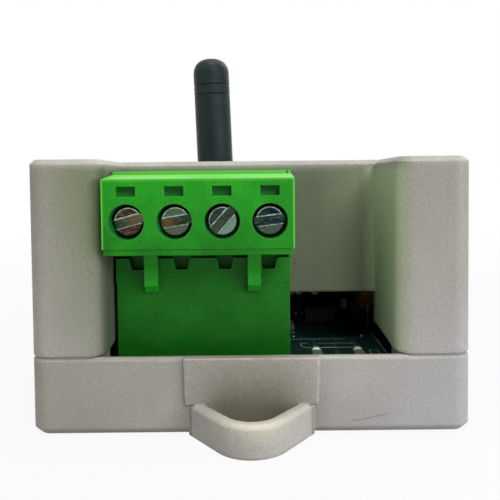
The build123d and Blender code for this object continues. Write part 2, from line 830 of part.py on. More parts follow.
def save_electronics():
    save("circuit_board", board_part())
    save("radio_board", radio_board())
    save("radio_shield", shield_can())
    save("microcontroller", quad_chip(8.5, 0.5, 7.0, 1.4, 6, 1.0))
    save("bus_driver_chip", chip(3.2, -10.8, 3.9, 4.9, 1.5, 4, 1.27))
    save("voltage_regulator", regulator(-5.4, -10.0))
    save("power_inductor", inductor(15.9, 9.4))
    small_capacitor = capacitor_can(3.1, 10.5, 3.15, 7.7)
    large_capacitor = capacitor_can(-14.5, -10.3, 4.0, 10.2)
    save("storage_capacitors", small_capacitor, large_capacitor)
    save("crystal", crystal_can(16.5, 2.0))
    save("resettable_fuse", resettable_fuse(16.9, -8.4))
    save("status_lamps", *[chip_part(x, 26.0, 2.0, 1.25, 0.8) for x in (2.0, 6.0)])
    save("chip_resistors", *[chip_part(2.0, y, 1.6, 0.8, 0.45) for y in (-4.0, -2.2, -0.4, 1.4)])
    save("chip_capacitors", *[chip_part(10.0, y, 1.6, 0.8, 0.8) for y in (7.5, 9.5, 11.5)])
    save("surge_diodes", chip_part(10.2, -7.6, 4.3, 2.2, 2.1), chip_part(17.4, -3.2, 4.3, 2.2, 2.1))


os.makedirs("parts", exist_ok=True)
save_case()
save_terminals()
save_antenna()
save_electronics()
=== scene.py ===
from math import cos, pi, radians, sin

import bmesh
import bpy
from mathutils import Matrix, Vector


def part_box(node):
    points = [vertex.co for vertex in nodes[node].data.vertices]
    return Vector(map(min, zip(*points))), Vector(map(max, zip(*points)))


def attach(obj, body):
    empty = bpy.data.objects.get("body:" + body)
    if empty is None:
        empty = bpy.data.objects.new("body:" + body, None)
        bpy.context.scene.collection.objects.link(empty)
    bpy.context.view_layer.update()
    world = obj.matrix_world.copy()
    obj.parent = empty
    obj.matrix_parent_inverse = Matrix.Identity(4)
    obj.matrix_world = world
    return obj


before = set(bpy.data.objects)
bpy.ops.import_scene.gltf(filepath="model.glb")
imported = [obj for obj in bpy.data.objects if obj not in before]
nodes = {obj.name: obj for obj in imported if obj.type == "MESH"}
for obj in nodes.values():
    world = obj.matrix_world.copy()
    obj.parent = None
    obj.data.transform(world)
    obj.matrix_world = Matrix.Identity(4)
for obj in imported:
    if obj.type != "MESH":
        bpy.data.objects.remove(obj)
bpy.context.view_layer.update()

# Lengths are millimetres, and MM turns them into the scene's metres. X runs to the right,
# Y from the terminal end to the antenna end, and Z up. Colours are linear values.
MM = 0.001

# Places on the case
BASE_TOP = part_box("case_base")[1].z / MM
LUG_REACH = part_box("case_base")[1].y / MM
CASE_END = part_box("case_cover")[1].y / MM
ROOF_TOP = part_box("case_cover")[1].z / MM
RECESS_MOUTH_HALF = 15.75
RECESS_MOUTH_RADIUS = 2.0

# Places on the board and the terminal
BOARD_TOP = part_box("circuit_board")[1].z / MM
HEADER_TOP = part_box("terminal_header")[1].z / MM
HEADER_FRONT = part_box("terminal_header")[0].y / MM
PLUG_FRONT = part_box("terminal_plug")[0].y / MM
PLUG_BLOCK_TOP = 27.7
PITCH = 5.08
SCREW_WAY_RADIUS = 1.9
WINDOW_MIDDLE = 26.39
WINDOW_WIDTH = 2.05
WINDOW_HEIGHT = 1.06
STATUS_LAMP_X = (2.0, 6.0)
CHIP_RESISTOR_X = 2.0
CHIP_CAPACITOR_X = 10.0

# The photograph's camera, worked out from the terminal's 5.08 mm pitch. The picture
# was cropped, so the lens axis meets it above its middle. Pitch and roll are in degrees.
IMAGE_SIDE = 500
FOCAL_PIXELS = 605
AXIS_PIXEL = (249.5, 200.8)
SENSOR_MM = 36.0
CAMERA_PLACE = (0.0, -97.0, 27.75)
CAMERA_PITCH = 2.2
CAMERA_ROLL = 0.58

# Colours
WHITE = (1.0, 1.0, 1.0)
BLACK = (0.0, 0.0, 0.0)

# Case colours
CASE_LIGHT = (0.338, 0.325, 0.301)
CASE_DARK = (0.282, 0.273, 0.252)
CASE_WARM = (0.228, 0.215, 0.184)
# Painted cool light at the lower right of the terminal end
CASE_COOL_LIGHT = (0.352, 0.343, 0.384)
# Painted shade and a painted reflection of the plug's green
CASE_OLIVE_SHADE = (0.135, 0.165, 0.090)
# Edges: wear, and a painted highlight
CASE_EDGE = (0.66, 0.63, 0.48)
CASE_SPECK = (0.20, 0.185, 0.15)
CASE_SCUFF = (0.09, 0.08, 0.07)
LUG_SHADE = (0.125, 0.115, 0.085)
LUG_LIGHT = (0.490, 0.470, 0.385)

# Terminal colours
GREEN_LIGHT = (0.015, 0.295, 0.011)
GREEN_DARK = (0.009, 0.212, 0.007)
# Painted shade, low down on the plug and on the header
GREEN_SHADE = (0.002, 0.055, 0.003)
# Painted light on the latch arms
GREEN_ARM_LIGHT = (0.030, 0.560, 0.030)
# Edges: wear, and a painted highlight
GREEN_EDGE = (0.200, 0.600, 0.080)
# Painted shade in the screw ways and test windows
GREEN_HOLE_SHADE = (0.006, 0.160, 0.026)
# Painted light on the plug's top, and a painted highlight on its upright edges
GREEN_TOP_LIGHT = (0.110, 0.480, 0.045)

# Antenna colours
RUBBER_LIGHT = (0.007, 0.017, 0.018)
RUBBER_DARK = (0.003, 0.008, 0.008)
KNUCKLE_LIGHT = (0.020, 0.021, 0.022)
KNUCKLE_DARK = (0.010, 0.011, 0.012)
# Edges: wear, and a painted highlight
KNUCKLE_EDGE = (0.06, 0.06, 0.06)

# Board colours
BOARD_MASK = (0.0030, 0.0150, 0.0120)
BOARD_DARK = (0.0015, 0.0080, 0.0070)
BOARD_WEAVE = (0.012, 0.060, 0.060)
CAN_LIGHT = (0.22, 0.22, 0.20)
CAN_DARK = (0.14, 0.14, 0.13)
CAN_FOOT = (0.015, 0.015, 0.016)
TINNED = (0.13, 0.13, 0.12)
FUSE_LEG = (0.05, 0.05, 0.05)

# Metals: light tone, dark tone and roughness
ZINC_STEEL = ((0.58, 0.57, 0.54), (0.25, 0.24, 0.22), 0.30)
CAGE_NICKEL = ((0.50, 0.49, 0.46), (0.22, 0.21, 0.19), 0.30)
PIN_NICKEL = ((0.56, 0.55, 0.52), (0.16, 0.17, 0.15), 0.22)
TINNED_COPPER = ((0.20, 0.23, 0.19), (0.07, 0.09, 0.07), 0.50)
GOLD = ((0.80, 0.55, 0.22), (0.58, 0.37, 0.13), 0.22)
SHIELD_TIN = ((0.34, 0.34, 0.32), (0.20, 0.20, 0.19), 0.38)
CRYSTAL_CAN = ((0.16, 0.16, 0.15), (0.09, 0.09, 0.08), 0.45)

# Grained bodies and layers: light tone, dark tone, size of grain and roughness
CHIP = ((0.016, 0.016, 0.017), (0.009, 0.009, 0.010), 0.12, 0.55)
FERRITE = ((0.030, 0.030, 0.031), (0.016, 0.016, 0.017), 0.2, 0.7)
FUSE_DIP = ((0.42, 0.170, 0.030), (0.28, 0.095, 0.014), 0.5, 0.45)
LAMP_RESIN = ((0.80, 0.78, 0.62), (0.70, 0.67, 0.50), 0.2, 0.3)
CERAMIC = ((0.40, 0.26, 0.14), (0.30, 0.18, 0.09), 0.1, 0.5)
DIODE = ((0.008, 0.009, 0.009), (0.004, 0.005, 0.005), 0.12, 0.65)
JACK_CORE = ((0.80, 0.80, 0.76), (0.70, 0.70, 0.66), 0.3, 0.5)
SILK_INK = ((0.20, 0.24, 0.21), (0.06, 0.09, 0.07), 0.4, 0.6)
MASKED_COPPER = ((0.0050, 0.0260, 0.0210), (0.0030, 0.0160, 0.0130), 0.4, 0.5)


# Shader helpers

class Graph:
    """Adds nodes to one shader tree. A value may be a socket or plain."""

    def __init__(self, tree):
        self.tree = tree

    def add(self, kind, **settings):
        node = self.tree.nodes.new(kind)
        for key, value in settings.items():
            setattr(node, key, value)
        return node

    def feed(self, socket, value):
        """Links a socket, or sets it where the value is plain."""
        if isinstance(value, bpy.types.NodeSocket):
            self.tree.links.new(value, socket)
        elif isinstance(value, tuple) and socket.type == "RGBA":
            socket.default_value = (*value, 1.0)
        else:
            socket.default_value = value

    def math(self, operation, *values):
        """One step of arithmetic."""
        node = self.add("ShaderNodeMath", operation=operation)
        for socket, value in zip(node.inputs, values):
            self.feed(socket, value)
        return node.outputs[0]

    def plus(self, first, second):
        return self.math("ADD", first, second)

    def minus(self, first, second):
        return self.math("SUBTRACT", first, second)

    def times(self, first, *others):
        product = first
        for other in others:
            product = self.math("MULTIPLY", product, other)
        return product

    def greatest(self, first, *others):
        most = first
        for other in others:
            most = self.math("MAXIMUM", most, other)
        return most

    def absolute(self, value):
        return self.math("ABSOLUTE", value)

    def level(self, factor, low, high, out_low=0.0, out_high=1.0):
        """Maps low..high of a factor to out_low..out_high, and stays there beyond them."""
        node = self.add("ShaderNodeMapRange")
        for name, value in (("Value", factor), ("From Min", low), ("From Max", high),
                            ("To Min", out_low), ("To Max", out_high)):
            self.feed(node.inputs[name], value)
        return node.outputs[0]


class Finish(Graph):
    """One procedural material, built up from a principled shader."""

    def __init__(self, name, metallic=0.0, gloss=0.5):
        self.material = bpy.data.materials.new(name)
        self.material.use_nodes = True
        super().__init__(self.material.node_tree)
        self.shader = self.tree.nodes["Principled BSDF"]
        self.set("Metallic", metallic)
        self.set("Specular IOR Level", gloss)
        self.place = self.add("ShaderNodeTexCoord").outputs["Object"]
        axes = self.add("ShaderNodeSeparateXYZ")
        self.feed(axes.inputs[0], self.place)
        self.x, self.y, self.z = axes.outputs

    def set(self, name, value):
        self.feed(self.shader.inputs[name], value)

    def noise(self, size_mm, detail=3.0, stretch=(1, 1, 1), shift=0.0):
        """Noise whose features are about size_mm across. A shift gives another noise."""
        mapping = self.add("ShaderNodeMapping")
        self.feed(mapping.inputs["Vector"], self.place)
        mapping.inputs["Scale"].default_value = [1 / (size_mm * MM * share) for share in stretch]
        mapping.inputs["Location"].default_value = (shift, shift, shift)
        node = self.add("ShaderNodeTexNoise")
        self.feed(node.inputs["Vector"], mapping.outputs[0])
        self.feed(node.inputs["Scale"], 1.0)
        self.feed(node.inputs["Detail"], detail)
        return node.outputs["Fac"]

    def wander(self, noise, low, high):
        """A value that wanders between low and high as a noise does."""
        return self.level(noise, 0.3, 0.7, low, high)

    def ramp(self, factor, *stops):
        """A colour ramp of (position, colour) stops."""
        node = self.add("ShaderNodeValToRGB")
        self.feed(node.inputs[0], factor)
        elements = node.color_ramp.elements
        while len(elements) < len(stops):
            elements.new(0.5)
        for element, (position, colour) in zip(elements, stops):
            element.position = position
            element.color = (*colour, 1.0)
        return node.outputs[0]

    def mix(self, factor, first, second):
        """The first colour, with a factor's share of the second."""
        node = self.add("ShaderNodeMix", data_type="RGBA")
        self.feed(node.inputs["Factor"], factor)
        self.feed(node.inputs[6], first)
        self.feed(node.inputs[7], second)
        return node.outputs[2]

    def fade(self, length, low_mm, high_mm, out_low=0.0, out_high=1.0):
        """Maps a length between two values to out_low..out_high, and stays there beyond them."""
        return self.level(length, low_mm * MM, high_mm * MM, out_low, out_high)

    def over(self, length, limit_mm):
        """1 where a length is more than a limit."""
        return self.math("GREATER_THAN", length, limit_mm * MM)

    def under(self, length, limit_mm):
        """1 where a length is less than a limit."""
        return self.math("LESS_THAN", length, limit_mm * MM)

    def between(self, length, low_mm, high_mm):
        """1 where a length lies between two limits."""
        return self.times(self.over(length, low_mm), self.under(length, high_mm))

    def radius(self, x, z):
        """Distance from an axis along Y, which x and z are measured from."""
        return self.math("SQRT", self.plus(self.times(x, x), self.times(z, z)))

    def band(self, length, low_mm, high_mm):
        """1 in the middle of a band of a length, falling to 0 at its sides."""
        middle = (low_mm + high_mm) / 2
        half = (high_mm - low_mm) / 2
        off = self.absolute(self.minus(length, middle * MM))
        return self.fade(off, half / 2, half, 1.0, 0.0)

    def edges(self, width_mm):
        """1 on edges and corners, falling to 0 within width_mm."""
        bevel = self.add("ShaderNodeBevel", samples=8)
        bevel.inputs["Radius"].default_value = width_mm * MM
        flat = self.add("ShaderNodeNewGeometry").outputs["Normal"]
        dot = self.add("ShaderNodeVectorMath", operation="DOT_PRODUCT")
        self.feed(dot.inputs[0], bevel.outputs[0])
        self.feed(dot.inputs[1], flat)
        return self.level(dot.outputs["Value"], 0.99, 0.80)

    def bump(self, height, depth_mm, strength=1.0, round_mm=0.0):
        """Bumps the surface, over edges that look rounded by round_mm."""
        node = self.add("ShaderNodeBump")
        node.inputs["Strength"].default_value = strength
        node.inputs["Distance"].default_value = depth_mm * MM
        self.feed(node.inputs["Height"], height)
        if round_mm:
            bevel = self.add("ShaderNodeBevel", samples=6)
            bevel.inputs["Radius"].default_value = round_mm * MM
            self.feed(node.inputs["Normal"], bevel.outputs[0])
        self.set("Normal", node.outputs[0])

    def translucent(self, weight, depths_mm):
        """Lets light a little way in, to a depth each for red, green and blue."""
        self.set("Subsurface Weight", weight)
        self.set("Subsurface Radius", tuple(depth * MM for depth in depths_mm))


def wear_and_highlight_edges(skin, width_mm, amount):
    """How far edges are lightened in patches, by wear and by a painted highlight."""
    patches = skin.level(skin.noise(1.5, 4.0, shift=3.0), 0.35, 0.65)
    return skin.times(skin.edges(width_mm), patches, amount)


def grain(skin, colour, size_mm, depth):
    """Fine darker specks, as a moulding from an etched tool has."""
    fine = skin.level(skin.noise(size_mm, 3.0, shift=2.0), 0.35, 0.65, 0.0, depth)
    return skin.mix(fine, colour, BLACK)


def paint(material, *names):
    """Gives CAD nodes their finish."""
    for name in names:
        node = nodes[name]
        node.data.materials.clear()
        node.data.materials.append(material)


# Case plastic

def case_plastic():
    """Warm light grey moulded plastic with a fine spark-eroded grain."""
    skin = Finish("case_plastic", gloss=0.22)
    colour = skin.ramp(skin.noise(9.0), (0.35, CASE_DARK), (0.65, CASE_LIGHT))
    # Painted shade, painted light and a painted reflection of the plug, and darker, yellower tones
    colour = end_tones(skin, colour)
    specks = skin.level(skin.noise(0.35, 2.0, shift=8.0), 0.70, 0.78, 0.0, 0.35)
    colour = skin.mix(specks, colour, CASE_SPECK)
    # The recess walls: painted shade, painted light and a painted reflection of the terminal's green
    recess = recess_zone(skin)
    colour = skin.mix(skin.times(recess, 0.85), colour, recess_shade_tint(skin))
    colour = grain(skin, colour, 0.28, 0.15)
    # Lighter edges: wear, and a painted highlight
    colour = skin.mix(wear_and_highlight_edges(skin, 0.45, case_wear_and_highlight(skin, recess)), colour, CASE_EDGE)
    skin.set("Base Color", skin.mix(scuff(skin), colour, CASE_SCUFF))
    skin.set("Roughness", skin.wander(skin.noise(2.2, 4.0), 0.42, 0.55))
    texture = skin.plus(skin.noise(0.16, 2.0), skin.times(skin.noise(3.0, 2.0), 0.6))
    skin.bump(texture, 0.02, strength=0.45, round_mm=0.45)
    skin.translucent(0.06, (1.0, 0.9, 0.6))
    return skin.material


def case_wear_and_highlight(skin, recess):
    """The case's edges get the least wear and painted highlight in the recess and on the base."""
    upper = skin.fade(skin.z, BASE_TOP, BASE_TOP + 0.4, 0.44, 0.80)
    return skin.times(upper, skin.level(recess, 0.0, 0.3, 1.0, 0.0))


def end_tones(skin, colour):
    """Uneven tones that the photo shows on the case, painted: painted shade, painted light and a
    painted reflection of the plug, and darker, yellower tones whose cause the photo doesn't tell.
    They may be light, mirrored colour or age, and the photo doesn't tell which."""
    colour = skin.mix(warm_share(skin), colour, CASE_WARM)
    colour = skin.mix(cool_light_share(skin), colour, CASE_COOL_LIGHT)
    colour = skin.mix(plug_shade_share(skin), colour, CASE_OLIVE_SHADE)
    colour = skin.mix(lug_root_share(skin), colour, LUG_SHADE)
    return skin.mix(lug_share(skin), colour, LUG_LIGHT)


def warm_share(skin):
    """Darker and yellower towards the roof, and at the left of the base."""
    rising = skin.fade(skin.z, 3.0, 27.0, 0.0, 0.8)
    left_base = skin.times(skin.fade(skin.x, -18.0, -10.0, 0.45, 0.0), skin.under(skin.z, BASE_TOP))
    below_roof = skin.fade(skin.z, ROOF_TOP - 1.1, ROOF_TOP - 0.5, 1.0, 0.1)
    return skin.times(skin.plus(rising, left_base), below_roof)


def cool_light_share(skin):
    """Painted cool light at the lower right of the terminal end."""
    rightwards = skin.fade(skin.x, 4.0, 22.0)
    downwards = skin.fade(skin.z, 0.0, 18.0, 0.8, 0.0)
    end_face = skin.fade(skin.y, 1.5 - CASE_END, 9.5 - CASE_END, 1.0, 0.1)
    return skin.times(rightwards, downwards, end_face)


def plug_shade_share(skin):
    """Olive painted shade and painted reflection of the plug on the left pillar's rounded edge."""
    towards_plug = skin.fade(skin.x, -23.0, -17.3, 0.0, 0.9)
    upwards = skin.fade(skin.z, 11.0, 23.0, 0.28, 1.0)
    below_roof = skin.fade(skin.z, ROOF_TOP - 1.3, ROOF_TOP - 0.5, 1.0, 0.0)
    pillar_end = skin.times(skin.under(skin.x, -15.0), skin.under(skin.y, 2.5 - CASE_END))
    above_base = skin.over(skin.z, BASE_TOP)
    return skin.times(towards_plug, upwards, below_roof, pillar_end, above_base)


def lug_root_share(skin):
    """Painted shade on the panel behind a lug's opening, least at its sides and its top."""
    outwards = skin.fade(skin.absolute(skin.x), 3.0, 9.0, 1.0, 0.12)
    upwards = skin.fade(skin.z, 3.4, 8.6, 1.0, 0.30)
    panel = skin.between(skin.absolute(skin.y), CASE_END - 0.9, CASE_END + 0.5)
    return skin.times(outwards, upwards, panel)


def lug_share(skin):
    """Painted light towards the lugs' tips and their upper edges."""
    outwards = skin.fade(skin.absolute(skin.y), CASE_END + 2.0, LUG_REACH)
    return skin.times(outwards, skin.fade(skin.z, 1.0, 3.7, 0.0, 0.9))


def recess_zone(skin):
    """1 inside the terminal's recess, whose walls get painted shade, light and green reflection."""
    mouth = RECESS_MOUTH_HALF + 0.15
    across = skin.fade(skin.absolute(skin.x), mouth, mouth + RECESS_MOUTH_RADIUS, 1.0, 0.0)
    near = skin.fade(skin.y, -CASE_END - 0.7, 1.1 - CASE_END)
    below_roof = skin.fade(skin.z, ROOF_TOP - 1.5, ROOF_TOP - 0.5, 1.0, 0.0)
    terminal_end = skin.under(skin.y, -17.5)
    return skin.times(across, near, below_roof, terminal_end, skin.over(skin.z, BASE_TOP))


def recess_shade_tint(skin):
    """Painted shade, light and green reflection on the recess walls: darkest left, lightest right."""
    across = skin.fade(skin.x, -17.0, 17.0)
    return skin.ramp(
        across,
        (0.0, (0.030, 0.046, 0.026)),
        (0.10, (0.100, 0.125, 0.072)),
        (0.76, (0.098, 0.122, 0.072)),
        (0.93, (0.190, 0.230, 0.142)),
        (0.985, (0.480, 0.560, 0.360)),
    )


def scuff(skin):
    """A faint curved scuff on the right of the base's end face: part of a circle."""
    centre_x = 9.0
    centre_z = 21.3
    radius = 20.0
    far = skin.radius(skin.minus(skin.x, centre_x * MM), skin.minus(skin.z, centre_z * MM))
    line = skin.fade(skin.absolute(skin.minus(far, radius * MM)), 0.03, 0.10, 0.5, 0.0)
    end_face = skin.between(skin.y, -CASE_END - 1.5, 0.5 - CASE_END)
    return skin.times(line, skin.between(skin.x, 10.8, 14.6), skin.between(skin.z, 0.5, 8.0), end_face)


# Terminal plastic

def terminal_green():
    """Green moulded polyamide, a little translucent at its edges, with painted light and shade."""
    skin = Finish("terminal_green", gloss=0.15)
    colour = skin.ramp(skin.noise(3.5), (0.35, GREEN_DARK), (0.65, GREEN_LIGHT))
    # Painted shade: a deeper green low down on the plug
    low_shade = skin.fade(skin.z, HEADER_TOP + 1.0, HEADER_TOP + 8.0, 0.48, 0.0)
    colour = skin.mix(low_shade, colour, GREEN_SHADE)
    colour = skin.mix(header_shade(skin), colour, GREEN_SHADE)
    colour = skin.mix(arm_light(skin), colour, GREEN_ARM_LIGHT)
    colour = grain(skin, colour, 0.25, 0.22)
    # Lighter edges: wear, and a painted highlight
    colour = skin.mix(wear_and_highlight_edges(skin, 0.20, 0.15), colour, GREEN_EDGE)
    # Painted shade: a darker green in the screw ways and test windows
    colour = skin.mix(in_openings(skin), colour, GREEN_HOLE_SHADE)
    # Painted light on the plug's top, and a painted highlight on its upright edges
    top = skin.fade(skin.z, PLUG_BLOCK_TOP - 0.35, PLUG_BLOCK_TOP + 0.1, 0.0, 0.7)
    skin.set("Base Color", skin.mix(skin.greatest(top, plug_rim(skin)), colour, GREEN_TOP_LIGHT))
    skin.set("Roughness", skin.wander(skin.noise(0.8, 4.0), 0.34, 0.50))
    texture = skin.plus(skin.noise(0.12, 2.0), skin.noise(1.2, 2.0))
    skin.bump(texture, 0.012, strength=0.6, round_mm=0.08)
    skin.translucent(0.10, (0.3, 1.0, 0.3))
    return skin.material


def below_plug_block(skin):
    """1 on the header and on the plug's latch arms."""
    return skin.under(skin.z, HEADER_TOP + 0.6)


def header_shade(skin):
    """Painted shade that makes the header deeper in tone than the plug, most at its foot."""
    shade = skin.fade(skin.z, BOARD_TOP, HEADER_TOP, 0.70, 0.10)
    behind_arms = skin.over(skin.y, HEADER_FRONT - 0.05)
    return skin.times(shade, below_plug_block(skin), behind_arms)


def arm_light(skin):
    """Painted light, part of the way to a lighter green, on the plug's two latch arms."""
    before_header = skin.under(skin.y, HEADER_FRONT - 0.05)
    return skin.times(below_plug_block(skin), before_header, 0.34)


def from_plug_middle(skin):
    """Distance to the left or right of the plug's middle."""
    low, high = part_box("terminal_plug")
    return skin.absolute(skin.minus(skin.x, (low.x + high.x) / 2))


def from_nearest_pole(skin):
    """Distance to the left or right of the nearest of the plug's four poles."""
    from_pair = skin.absolute(skin.minus(from_plug_middle(skin), PITCH * MM))
    return skin.absolute(skin.minus(from_pair, PITCH / 2 * MM))


def in_openings(skin):
    """1 where painted shade falls on the walls of the plug's screw ways, and about half of it in its
    test windows.
    """
    x = from_nearest_pole(skin)
    low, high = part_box("clamp_screw_1")
    from_axis = skin.radius(x, skin.minus(skin.z, (low.z + high.z) / 2))
    screw_way = skin.under(from_axis, SCREW_WAY_RADIUS + 0.07)
    reach = WINDOW_HEIGHT / 2 + 0.05
    window = skin.between(skin.z, WINDOW_MIDDLE - reach, WINDOW_MIDDLE + reach)
    window = skin.times(window, skin.under(x, WINDOW_WIDTH / 2 + 0.045), 0.55)
    behind_front = skin.between(skin.y, PLUG_FRONT + 0.06, PLUG_FRONT + 6.0)
    return skin.times(skin.greatest(screw_way, window), behind_front)


def plug_rim(skin):
    """How far the two upright edges of the plug's screw block get a painted highlight."""
    low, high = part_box("terminal_plug")
    half = (high.x - low.x) / 2 / MM
    rim = skin.fade(from_plug_middle(skin), half - 0.24, half - 0.06, 0.0, 0.8)
    return skin.times(rim, skin.over(skin.z, HEADER_TOP + 1.0))


# Clamp screws. In the photo each head mirrors something else. That is painted here, in tones
# that turn with the screw: one above the slot, one below it, and two in the slot,
# from left to right.
HEAD_TONES = [
    ((0.045, 0.020, 0.012), (0.050, 0.021, 0.009), (0.025, 0.055, 0.025), (0.100, 0.075, 0.045)),
    ((0.065, 0.105, 0.070), (0.080, 0.095, 0.062), (0.100, 0.062, 0.020), (0.020, 0.032, 0.015)),
    ((0.016, 0.038, 0.030), (0.150, 0.250, 0.195), (0.034, 0.056, 0.036), (0.026, 0.042, 0.027)),
    ((0.003, 0.015, 0.018), (0.050, 0.085, 0.052), (0.007, 0.020, 0.014), (0.007, 0.030, 0.030)),
]
SLOT_TURNS = (15.0, 9.0, 48.0, 7.0)
SLOT_HALF = 0.475
HEAD_SCRATCH = (0.24, 0.30, 0.23)
# Colour of the painted glints
HEAD_BRIGHT = (0.48, 0.60, 0.50)


def clamp_steel(number, upper, lower, slot_left, slot_right):
    """A polished slotted head with painted reflections and glints along its slot and upper rim."""
    skin = Finish(f"clamp_steel_{number}", metallic=1.0)
    along, across, far = head_places(skin, number)
    wave = skin.times(skin.minus(skin.noise(1.0, 4.0, shift=number), 0.5), 0.5 * MM)
    # Painted reflections: a tone above the slot, one below it, and two in it
    colour = skin.mix(skin.fade(skin.plus(across, wave), -0.9, 0.3), lower, upper)
    slot = skin.mix(skin.fade(skin.plus(along, wave), -0.9, 0.3), slot_left, slot_right)
    colour = skin.mix(skin.under(skin.absolute(across), SLOT_HALF), colour, slot)
    scratches = skin.level(skin.noise(0.10, 4.0, (6, 1, 1), shift=2.0 * number), 0.50, 0.70)
    colour = skin.mix(skin.times(scratches, 0.28), colour, HEAD_SCRATCH)
    skin.set("Base Color", skin.mix(head_glints(skin, number, across, far), colour, HEAD_BRIGHT))
    skin.set("Roughness", skin.level(scratches, 0.0, 1.0, 0.20, 0.36))
    skin.bump(skin.noise(0.08, 3.0, (10, 1, 1)), 0.006, strength=0.8, round_mm=0.06)
    return skin.material


def head_places(skin, number):
    """Distances along the slot, across it and from the screw's axis."""
    low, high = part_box(f"clamp_screw_{number}")
    x = skin.minus(skin.x, (low.x + high.x) / 2)
    z = skin.minus(skin.z, (low.z + high.z) / 2)
    turn = radians(SLOT_TURNS[number - 1])
    along = skin.plus(skin.times(x, cos(turn)), skin.times(z, sin(turn)))
    across = skin.minus(skin.times(z, cos(turn)), skin.times(x, sin(turn)))
    return along, across, skin.radius(x, z)


def head_glints(skin, number, across, far):
    """Painted glints: broken bright lines on the upper rim and on both sides of the slot."""
    rim = skin.times(skin.band(far, 1.36, 1.50), skin.fade(across, 0.2, 0.9))
    lip = skin.band(across, SLOT_HALF - 0.06, SLOT_HALF + 0.16)
    sill = skin.times(skin.band(across, -SLOT_HALF - 0.12, -SLOT_HALF + 0.02), 0.7)
    breaks = skin.level(skin.noise(0.5, 3.0, shift=4.0 * number), 0.30, 0.65, 0.1, 0.9)
    return skin.times(skin.greatest(rim, lip, sill), breaks)


# Metals and rubber

def plated(name, metal, stretch=(1, 1, 1), stained=0.5):
    """Plated metal with fine drawn scratches and dull patches."""
    light, dark, roughness = metal
    skin = Finish(name, metallic=1.0)
    patches = skin.level(skin.noise(0.9, 5.0), 0.40, 0.68)
    scratches = skin.level(skin.noise(0.10, 3.0, stretch), 0.40, 0.70)
    colour = skin.mix(skin.times(patches, stained), light, dark)
    skin.set("Base Color", skin.mix(skin.times(scratches, 0.20), colour, dark))
    dull = skin.level(skin.plus(patches, scratches), 0.0, 2.0, roughness, roughness + 0.12)
    skin.set("Roughness", dull)
    skin.bump(skin.noise(0.12, 2.0, stretch), 0.0010, strength=0.5, round_mm=0.08)
    return skin.material


def antenna_rubber():
    """Matte black rubber with a soft slate cast."""
    skin = Finish("antenna_rubber", gloss=0.15)
    skin.set("Base Color", skin.ramp(skin.noise(2.5, 4.0), (0.3, RUBBER_DARK), (0.7, RUBBER_LIGHT)))
    skin.set("Roughness", skin.wander(skin.noise(0.6), 0.42, 0.58))
    skin.bump(skin.plus(skin.noise(0.10, 2.0), skin.noise(0.9)), 0.015, strength=0.5, round_mm=0.1)
    skin.set("Sheen Weight", 0.60)
    skin.set("Sheen Roughness", 0.25)
    return skin.material


def knuckle_plastic():
    """Black moulded plastic of the antenna's knuckle."""
    skin = Finish("knuckle_plastic", gloss=0.35)
    colour = skin.ramp(skin.noise(1.5), (0.3, KNUCKLE_DARK), (0.7, KNUCKLE_LIGHT))
    # Lighter edges: wear, and a painted highlight
    skin.set("Base Color", skin.mix(wear_and_highlight_edges(skin, 0.2, 0.7), colour, KNUCKLE_EDGE))
    skin.set("Roughness", skin.wander(skin.noise(0.7), 0.32, 0.48))
    skin.bump(skin.noise(0.12, 2.0), 0.01, strength=0.6, round_mm=0.1)
    return skin.material


# Board and its parts

def board_laminate():
    """Dark blue-green solder mask, with the glass weave showing faintly under it."""
    skin = Finish("board_laminate", gloss=0.08)
    colour = skin.ramp(skin.noise(4.0), (0.35, BOARD_DARK), (0.65, BOARD_MASK))
    weave = skin.times(stripes(skin, skin.x, 0.55), stripes(skin, skin.y, 0.55))
    skin.set("Base Color", skin.mix(skin.times(weave, 0.10), colour, BOARD_WEAVE))
    low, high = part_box("circuit_board")
    cut_edge = skin.between(skin.z, low.z / MM + 0.1, high.z / MM - 0.1)
    skin.set("Roughness", skin.level(skin.plus(skin.noise(0.7), cut_edge), 0.3, 1.7, 0.36, 0.65))
    texture = skin.plus(skin.noise(0.5), skin.times(weave, 0.3))
    skin.bump(texture, 0.012, strength=0.5, round_mm=0.05)
    return skin.material


def stripes(skin, length, size_mm):
    """A soft wave along one axis."""
    return skin.absolute(skin.math("SINE", skin.times(length, pi / (size_mm * MM))))


def speckles(skin, light, dark, size_mm, roughness):
    """The colour and roughness of a part with its own grain, which is also its bump."""
    fine = skin.noise(size_mm, 2.0, shift=5.0)
    both = skin.plus(skin.times(skin.noise(size_mm * 6), 0.6), skin.times(fine, 0.4))
    colour = skin.ramp(both, (0.35, dark), (0.65, light))
    skin.bump(fine, 0.008, strength=0.7, round_mm=0.05)
    return colour, skin.wander(fine, roughness - 0.06, roughness + 0.08)


def speckled(name, body):
    """A plain moulded, dipped or sintered part."""
    skin = Finish(name, gloss=0.3)
    colour, rough = speckles(skin, *body)
    skin.set("Base Color", colour)
    skin.set("Roughness", rough)
    return skin.material


def two_tone(name, body, metal_mask, metal=TINNED):
    """A moulded part whose leads or end caps are tinned metal."""
    skin = Finish(name, gloss=0.3)
    colour, rough = speckles(skin, *body)
    mask = metal_mask(skin)
    skin.set("Base Color", skin.mix(mask, colour, metal))
    skin.set("Metallic", mask)
    skin.set("Roughness", skin.minus(rough, skin.times(mask, 0.2)))
    return skin.material


def leads_beside(name, trim_x, trim_y):
    """A mask that is 1 on a chip's leads, which stand out by the trims from its body."""
    low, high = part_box(name)
    gap = 0.05

    def mask(skin):
        across = skin.between(skin.x, low.x / MM + trim_x - gap, high.x / MM - trim_x + gap)
        along = skin.between(skin.y, low.y / MM + trim_y - gap, high.y / MM - trim_y + gap)
        return skin.minus(1.0, skin.times(across, along))
    return mask


